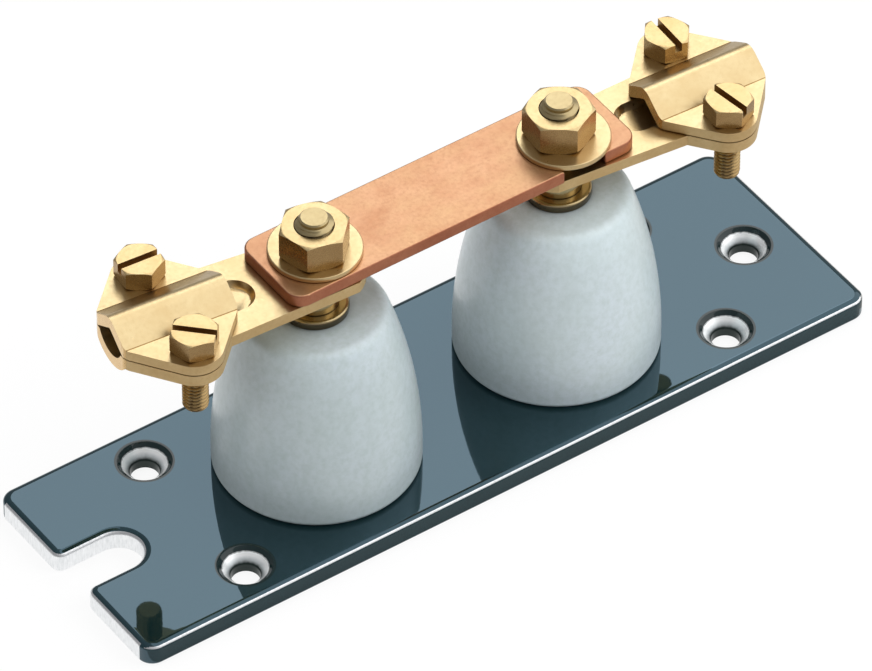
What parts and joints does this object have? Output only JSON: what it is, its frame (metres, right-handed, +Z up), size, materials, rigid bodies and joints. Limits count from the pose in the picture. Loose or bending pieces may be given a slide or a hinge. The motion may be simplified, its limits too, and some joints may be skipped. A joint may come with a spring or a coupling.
{
  "type": "earth test link",
  "caption": "Earth disconnecting link: copper bar that swings clear between brass clamp terminals on porcelain insulators, on a slotted black base plate.",
  "frame": {"origin": "centre of the base plate's underside", "axes": "+Z up from the plate, +X along the plate away from its slotted end, +Y to the back, the side the link swings to"},
  "size_m": [0.18, 0.055, 0.0708],
  "materials": {
    "plate": "gloss",
    "porcelain": "satin",
    "brass": "satin",
    "copper": "satin",
    "steel": "satin"
  },
  "bodies": {
    "base": {"base_plate": "plate", "left_insulator": "porcelain", "right_insulator": "porcelain", "left_foot_insert": "steel", "right_foot_insert": "steel", "left_foot_screw": "steel", "right_foot_screw": "steel", "left_head_insert": "brass", "right_head_insert": "brass", "left_stud": "brass", "right_stud": "brass", "left_spacer": "brass", "right_spacer": "brass", "left_terminal_bar": "brass", "right_terminal_bar": "brass"},
    "link": {"link_bar": "copper"},
    "left_washer": {"left_link_washer": "brass"},
    "left_nut": {"left_link_nut": "brass"},
    "left_cap": {"left_clamp_cap": "brass"},
    "left_front_screw": {"left_front_screw": "brass"},
    "left_rear_screw": {"left_rear_screw": "brass"},
    "right_washer": {"right_link_washer": "brass"},
    "right_nut": {"right_link_nut": "brass"},
    "right_cap": {"right_clamp_cap": "brass"},
    "right_front_screw": {"right_front_screw": "brass"},
    "right_rear_screw": {"right_rear_screw": "brass"}
  },
  "joints": [
    {"name": "link_swing", "type": "hinge", "parent": "base", "child": "link", "pos_m": [-0.03, 0, 0.0576], "axis": [0, 0, 1], "range_deg": [0, 110]},
    {"name": "left_nut_lift", "type": "slide", "parent": "base", "child": "left_washer", "axis": [0, 0, 1], "range_m": [0, 0.0025]},
    {"name": "left_nut_turn", "type": "hinge", "parent": "left_washer", "child": "left_nut", "pos_m": [-0.03, 0, 0.0576], "axis": [0, 0, 1], "range_deg": [0, 720]},
    {"name": "left_cap_lift", "type": "slide", "parent": "base", "child": "left_cap", "axis": [0, 0, 1], "range_m": [0, 0.004]},
    {"name": "left_front_screw_turn", "type": "hinge", "parent": "left_cap", "child": "left_front_screw", "pos_m": [-0.06437, -0.00804, 0.0576], "axis": [0, 0, 1], "range_deg": [0, 1600]},
    {"name": "left_rear_screw_turn", "type": "hinge", "parent": "left_cap", "child": "left_rear_screw", "pos_m": [-0.06184, 0.01523, 0.0576], "axis": [0, 0, 1], "range_deg": [0, 1600]},
    {"name": "right_nut_lift", "type": "slide", "parent": "base", "child": "right_washer", "axis": [0, 0, 1], "range_m": [0, 0.0025]},
    {"name": "right_nut_turn", "type": "hinge", "parent": "right_washer", "child": "right_nut", "pos_m": [0.03, 0, 0.0576], "axis": [0, 0, 1], "range_deg": [0, 720]},
    {"name": "right_cap_lift", "type": "slide", "parent": "base", "child": "right_cap", "axis": [0, 0, 1], "range_m": [0, 0.004]},
    {"name": "right_front_screw_turn", "type": "hinge", "parent": "right_cap", "child": "right_front_screw", "pos_m": [0.06252, -0.01371, 0.0576], "axis": [0, 0, 1], "range_deg": [0, 1600]},
    {"name": "right_rear_screw_turn", "type": "hinge", "parent": "right_cap", "child": "right_rear_screw", "pos_m": [0.06395, 0.00965, 0.0576], "axis": [0, 0, 1], "range_deg": [0, 1600]}
  ],
  "couplings": [
    {"joint": "left_nut_turn", "follows": "left_nut_lift", "rad_per_m": 5026.5},
    {"joint": "left_front_screw_turn", "follows": "left_cap_lift", "rad_per_m": 6981.3},
    {"joint": "left_rear_screw_turn", "follows": "left_cap_lift", "rad_per_m": 6981.3},
    {"joint": "right_nut_turn", "follows": "right_nut_lift", "rad_per_m": 5026.5},
    {"joint": "right_front_screw_turn", "follows": "right_cap_lift", "rad_per_m": 6981.3},
    {"joint": "right_rear_screw_turn", "follows": "right_cap_lift", "rad_per_m": 6981.3}
  ]
}
